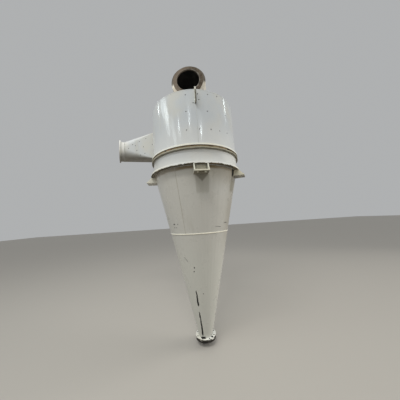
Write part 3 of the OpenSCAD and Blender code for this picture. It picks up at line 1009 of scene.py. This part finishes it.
# %% [markdown]
# ### Beads of the lugs
# Each lifting lug is one plate that stands on the barrel, with an upright bead
# on both of its sides.

# %% Lug beads
half_lug = sizes_of("front_lug", "front_lug_hole")[0]
print("lug", round(2 * half_lug, 4), "thick")
for side in ("front", "right", "left"):
    turn = mount_turn(side + "_lug_hole")
    low, high = bottom_of(side + "_lug") + 4 * MM, bottom_of("roof_plate") - 6 * MM
    bm = bmesh.new()
    for aside in (-half_lug, half_lug):
        out = math.sqrt(BARREL_R**2 - aside**2)
        start, end = (from_axis(turn, aside, out, z) for z in (low, high))
        straight_bead(bm, start, end, 5 * MM, seed=turn)
    new_piece(side + "_lug_beads", bm, bead_paint)

# %% [markdown]
# ## Seams in the plates
# The barrel and the upper cone are rolled from one plate each. Where its two
# ends meet there is a bead, ground nearly flush: on the barrel it runs down
# under the front lug, and on the cone it is a little to the left of it.

# %% Long seams
SEAM_BESIDE_LUG = 0.5
BARREL_SEAM_SUNK, CONE_SEAM_SUNK = 1.4 * MM, 2.9 * MM
CONE_SEAM_SEEN = [(177.9, 183.6), (183.0, 223.4)]
NEAREST, HALVINGS = 0.5, 40


def upright_seam(name, turn, low, high, thick, finish):
    """A ground bead at a turn, between two points given as radius and height."""
    bm = bmesh.new()
    straight_bead(bm, around(turn, *low), around(turn, *high), thick, ragged=0.25)
    new_piece(name, bm, finish)


def on_cone(px, py):
    """Where the line of sight through a place in the picture meets the cone."""
    ray = sight(px, py)

    def gap(t):
        spot = eye + ray * t
        return math.hypot(spot.x - AXIS.x, spot.y - AXIS.y) - cone_radius(spot.z)

    flat = Vector((ray.x, ray.y))
    near, far = NEAREST, (AXIS - eye).to_2d().dot(flat) / flat.dot(flat)
    for _ in range(HALVINGS):
        middle = (near + far) / 2
        near, far = (middle, far) if gap(middle) > 0 else (near, middle)
    return eye + ray * near


lug_turn = mount_turn("front_lug_hole")
seam_r = BARREL_R - BARREL_SEAM_SUNK
high, low = (seam_r, bottom_of("front_lug") - 2 * MM), (seam_r, top_of("barrel_flange"))
upright_seam("barrel_long_seam", lug_turn + SEAM_BESIDE_LUG, high, low, 3.0 * MM, bead_paint)

seam_turns = [turn_of(on_cone(*place)) for place in CONE_SEAM_SEEN]
print("cone seam turns", [round(turn, 1) for turn in seam_turns])
seam_ends = [(cone_radius(z) - CONE_SEAM_SUNK, z) for z in (top_of("cone_seam_ring"), LEDGE_UNDER)]
upright_seam("cone_long_seam", sum(seam_turns) / 2, *seam_ends, 4.5 * MM, seam_paint)

# %% [markdown]
# ## Plug welds
# Small round marks dot the barrel in three level rows, and the inlet's flat
# front. There something inside, such as a wear liner, is welded through holes
# in the plate. Each mark is a flat cone with ten sides, set on the plate where
# the line of sight meets it. Round the back the rows go on at a regular pitch.

# %% Plug welds on the barrel
MARK_R, MARK_RISE = 7.5 * MM, 1.2 * MM
MARKS_SEEN = [
    (185.2, 94.8), (197.3, 93.9), (207.5, 94.5), (216.7, 96.5), (193.0, 102.7), (198.8, 99.5),
    (185.8, 111.5), (207.3, 111.2), (225.0, 115.4), (186.5, 130.0), (199.6, 129.0), (211.0, 129.3),
    (219.7, 130.9), (227.0, 133.2),
]
MARK_PITCH, MARK_FIRST, MARK_LAST = 360 / 28, 70, 172
MARK_HEIGHTS = [3.060, 2.830, 2.600]


def weld_mark_paint(name):
    f = Finish(name)
    colour = f.mix(f.step(f.noise(25, 2), 0.4, 0.6), (0.035, 0.032, 0.030), (0.12, 0.115, 0.105))
    return f.done(colour, 0.6, f.bump(f.noise(400, 3), 0.5, 0.0006))


mark_finish = weld_mark_paint("weld_mark")


def plug_weld(bm, place, normal, radius=MARK_R):
    """A flat cone with ten sides, sunk a little into the plate."""
    seat = facing(place + normal * MARK_RISE * 0.4, normal)
    bmesh.ops.create_cone(
        bm, cap_ends=True, segments=10, radius1=radius, radius2=radius * 0.6, depth=MARK_RISE, matrix=seat
    )


places = [on_barrel(px, py) for px, py in MARKS_SEEN]
count = int((MARK_LAST - MARK_FIRST) / MARK_PITCH) + 1
for z in MARK_HEIGHTS:
    places += [around(MARK_FIRST + MARK_PITCH * i, BARREL_R, TIP_Z + z) for i in range(count)]
bm = bmesh.new()
for place in places:
    plug_weld(bm, place, outward(place))
new_piece("barrel_plug_welds", bm, mark_finish)

# %% [markdown]
# ### Plug welds on the inlet
# Here the marks lie on flat and slightly bent plates, so a ray from the camera
# through each place finds the plate. The far side of the inlet gets the same
# marks, mirrored in the inlet's upright middle plane.

# %% Plug welds on the inlet
INLET_MARKS_SEEN = [
    (132.5, 144.5), (139.2, 141.5), (145.8, 138.6), (128.5, 148.5), (135.3, 145.6), (143.4, 146.8),
    (136.8, 150.7), (144.8, 153.4), (152.2, 144.4), (140.4, 155.0),
]
INLET_MARK_R = MARK_R * 0.9
BEYOND = 0.3


def tree_of(*nodes):
    """The named CAD nodes' faces, ready for rays."""
    joined = bmesh.new()
    for node in nodes:
        joined.from_mesh(frame["nodes"][node].data)
    tree = BVHTree.FromBMesh(joined)
    joined.free()
    return tree


inlet_tree = tree_of("inlet_transition", "inlet_duct")
bm = bmesh.new()
for px, py in INLET_MARKS_SEEN:
    place, normal, _, _ = inlet_tree.ray_cast(eye, sight(px, py))
    if place is None:
        continue
    plug_weld(bm, place, normal, INLET_MARK_R)
    mirrored = place - across * 2 * ((place - by_duct(0, 0, 0)).dot(across))
    back, back_normal, _, _ = inlet_tree.ray_cast(mirrored + across * BEYOND, -across)
    if back is not None:
        plug_weld(bm, back, back_normal, INLET_MARK_R)
new_piece("inlet_plug_welds", bm, mark_finish)

# %% [markdown]
# ## What hangs under the rings
# Rust and old sealant make a ragged lip under the support ring, and lumps in
# the joint between the two bolted rings. Both are beads with a lot of noise.

# %% Ragged lips
rust_lip = rusty_packing("rust_lip", (0.045, 0.036, 0.020), (0.13, 0.11, 0.065))
bm = bmesh.new()
ring_bead(bm, level(LEDGE_UNDER + 1 * MM), LEDGE_R - 2 * MM, 6.5 * MM, ragged=1.3, seed=21)
new_piece("support_ring_rust_lip", bm, rust_lip)

bm = bmesh.new()
packing_r = radius_of("joint_packing")
packing_low, packing_high = bottom_of("joint_packing"), top_of("joint_packing")
for share, seed in ((0.3, 5), (0.72, 8)):
    z = packing_low + (packing_high - packing_low) * share
    ring_bead(bm, level(z), packing_r - 2 * MM, 5 * MM, ragged=1.1, seed=seed)
new_piece("joint_sealant", bm, packing)

# %% [markdown]
# ## The mouth's inner lip
# The bare ring in the elbow's mouth has a rolled lip round its hole, worn
# smooth and a little lighter. It is a small ring spun about the mouth's axis.

# %% Mouth lip
lip_steel = bare_steel("lip_steel", (0.14, 0.12, 0.10), (0.30, 0.27, 0.23), lighter_left=0.6)
MOUTH_R = mounts["outlet_mouth"]["dims"]["r_mm"] * MM
lip_place = facing(mouth_at + mouth_axis * 5 * MM, mouth_axis)
bm = bmesh.new()
ring_bead(bm, lip_place, MOUTH_R + 8 * MM, 9 * MM, ragged=0.1, seed=2)
new_piece("mouth_lip", bm, lip_steel)

# %% [markdown]
# ### The dark inside of the elbow
# Through the mouth one looks into the elbow, which is dark inside. A thin dark
# liner lies on the inner wall: a narrow ring, spun a quarter turn about the axis
# of the bend, then drawn on down the pipe to the roof.

# %% Dark liner
PIPE_WALL = 10 * MM
LINER_GAP, LINER_THICK, LINER_STEPS = 1.5 * MM, 2.0 * MM, 24
liner_r = PIPE_R - PIPE_WALL - LINER_GAP
bm = bmesh.new()
for radius in (liner_r, liner_r - LINER_THICK):
    bmesh.ops.create_circle(bm, radius=radius, segments=48, matrix=facing(elbow_end, mouth_axis))
bmesh.ops.bridge_loops(bm, edges=bm.edges)
sweep = bmesh.ops.spin(
    bm,
    geom=bm.faces[:],
    cent=elbow_end - Vector((0, 0, elbow_r)),
    axis=mouth_axis.cross(Vector((0, 0, 1))),
    angle=math.radians(90),
    steps=LINER_STEPS,
)
ends = [face for face in sweep["geom_last"] if isinstance(face, bmesh.types.BMFace)]
drawn = bmesh.ops.extrude_face_region(bm, geom=ends)
low_verts = [vert for vert in drawn["geom"] if isinstance(vert, bmesh.types.BMVert)]
bmesh.ops.translate(bm, vec=(0, 0, roof_top - top_of("outlet_pipe")), verts=low_verts)
bmesh.ops.delete(bm, geom=[face for face in ends if face.is_valid], context="FACES")
new_piece("elbow_dark_liner", bm, inside)

# %% [markdown]
# ## Runs, chips and scratches
# Oil or tar has run down the lower cone and set as a black crust. A strip of the
# same black beside the right foot is a painted shadow. Chips and scratches show
# dark primer. Each is a thin sheet: a grid laid on the cone along a line of
# sight, so it lies on the steel seen from any side, then given its thickness.

# %% Sheets laid on the cone
ROWS_PER_PIXEL, FEWEST_ROWS = 1.6, 3
crust_and_shadow = bare_steel("black_crust_and_shadow", (0.008, 0.008, 0.008), (0.022, 0.02, 0.018))
chip = bare_steel("dark_chip", (0.016, 0.014, 0.011), (0.045, 0.038, 0.030))


def laid_on_cone(bm, start, end, wide, end_wide, thick, wobble=0.0, seed=0.0):
    """A sheet on the cone between two places in the picture; widths in pixels."""
    start, end = Vector(start), Vector(end)
    along = (end - start).normalized()
    aside = Vector((-along.y, along.x))
    rows = max(FEWEST_ROWS, int((end - start).length * ROWS_PER_PIXEL))
    made = bmesh.ops.create_grid(bm, x_segments=3, y_segments=rows, size=0.5)
    for vert in made["verts"]:
        side, share = vert.co.x, vert.co.y + 0.5
        width = wide + (end_wide - wide) * share
        width *= math.sqrt(max(0.04, min(1, share * 9, (1 - share) * 9)))
        spot = start.lerp(end, share)
        drift = wobble * noise.noise(Vector((share * 5, seed, 0)))
        edge = 0.3 * wobble * noise.noise(Vector((share * 17, side * 4, seed)))
        spot += aside * (side * width + drift + edge)
        place = on_cone(spot.x, spot.y)
        vert.co = place + outward(place) * thick
    faces = {face for vert in made["verts"] for face in vert.link_faces}
    pushed = bmesh.ops.extrude_face_region(bm, geom=list(faces), use_keep_orig=True)
    for vert in pushed["geom"]:
        if isinstance(vert, bmesh.types.BMVert):
            vert.co -= outward(vert.co) * thick * 1.4


# %% [markdown]
# ### Where the runs and scratches are
# Every row is one sheet: its two ends in the picture, and its width at each.
# The three pieces share the helper, and differ in their finish, in how proud
# they stand and in how much their edges wander.

# %% Runs and scratches
BLACK_RUNS = [
    ((196.0, 290.4), (198.5, 306.3), 0.8, 1.8),
    ((199.2, 311.6), (200.3, 318.2), 0.6, 1.5),
    ((200.3, 317.0), (203.0, 335.6), 0.9, 1.7),
]
bm = bmesh.new()
for i, (start, end, wide, end_wide) in enumerate(BLACK_RUNS):
    laid_on_cone(bm, start, end, wide, end_wide, 1.2 * MM, 0.35, i)
new_piece("black_runs", bm, crust_and_shadow)

SCRATCH_WIDER = 1.6
SCRATCHES = [
    ((173.6, 224.2), (174.9, 224.7), 0.6, 0.6), ((177.1, 224.4), (178.1, 224.6), 0.4, 0.4),
    ((174.4, 227.6), (175.2, 227.9), 0.5, 0.4), ((176.2, 227.7), (177.0, 227.8), 0.4, 0.4),
    ((214.9, 226.2), (220.9, 226.6), 0.12, 0.3), ((224.0, 222.4), (226.8, 222.2), 0.3, 0.35),
    ((184.0, 257.0), (188.0, 262.0), 0.08, 0.13), ((193.8, 267.7), (194.9, 267.9), 1.0, 0.9),
    ((193.6, 271.5), (194.6, 271.7), 0.9, 0.8), ((203.0, 293.7), (203.9, 293.9), 0.5, 0.5),
]
bm = bmesh.new()
for i, (start, end, wide, end_wide) in enumerate(SCRATCHES):
    wide, end_wide = wide * SCRATCH_WIDER, end_wide * SCRATCH_WIDER
    laid_on_cone(bm, start, end, wide, end_wide, 0.8 * MM, 0.08, i + 9)
new_piece("scratches", bm, chip)

# A black strip beside the right foot's gusset is a painted shadow.
bm = bmesh.new()
laid_on_cone(bm, (232.9, 164.6), (232.3, 176.5), 2.0, 1.3, 1.0 * MM, 0.2, 30)
new_piece("foot_side_shadow", bm, crust_and_shadow)

# %% [markdown]
# ### Crust on the dust flange
# The black run ends in a blob on the flange, with a flatter spot further round.
# Both are spheres that noise has made lumpy, pressed flat and turned to lie
# along the flange.

# %% Crust on the dust flange
BLOBS = [(0, 6 * MM, (34, 13, 13)), (66, 20 * MM, (13, 17, 4))]
blob_turn = turn_of(on_cone(203.0, 334.0))
bm = bmesh.new()
for further, out, blob_mm in BLOBS:
    turn = blob_turn + further
    verts = bmesh.ops.create_uvsphere(bm, u_segments=20, v_segments=10, radius=1)["verts"]
    for vert in verts:
        vert.co *= 1 + 0.25 * noise.noise(vert.co * 2.2)
    bmesh.ops.scale(bm, vec=[v * MM for v in blob_mm], verts=verts)
    bmesh.ops.rotate(bm, cent=(0, 0, 0), matrix=Matrix.Rotation(math.radians(turn), 3, "Z"), verts=verts)
    bmesh.ops.translate(bm, vec=around(turn, TIP_R + out, TIP_Z), verts=verts)
new_piece("black_blob", bm, crust_and_shadow)
